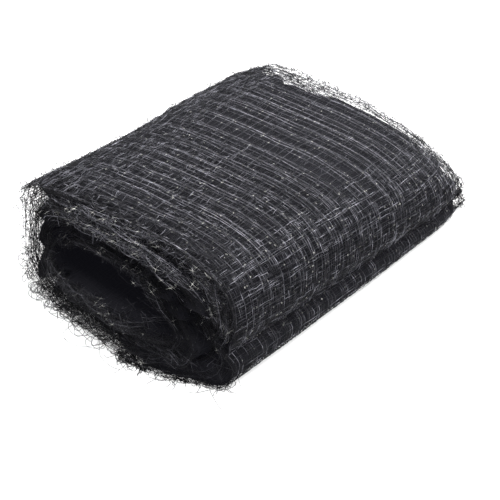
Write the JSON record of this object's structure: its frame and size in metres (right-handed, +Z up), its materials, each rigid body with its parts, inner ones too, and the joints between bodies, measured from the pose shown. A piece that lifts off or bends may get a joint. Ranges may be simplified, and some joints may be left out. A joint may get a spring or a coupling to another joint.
{
  "type": "bundle of bird netting",
  "caption": "Black plastic bird net, gathered into a strip and wound flat into a soft bundle with an open, hollow end.",
  "frame": {"origin": "middle of the bottom of the object's box, on the surface that it rests on", "axes": "+X along the axis that the strip is wound round, from the thick open end to the thin closed end; -Y towards the long side with the strip's outer end; +Z up"},
  "size_m": [0.3262, 0.2522, 0.0899],
  "materials": {
    "net": "thin extruded strands, slightly glossy"
  },
  "bodies": {
    "root": {"netting": "net"}
  },
  "joints": []
}
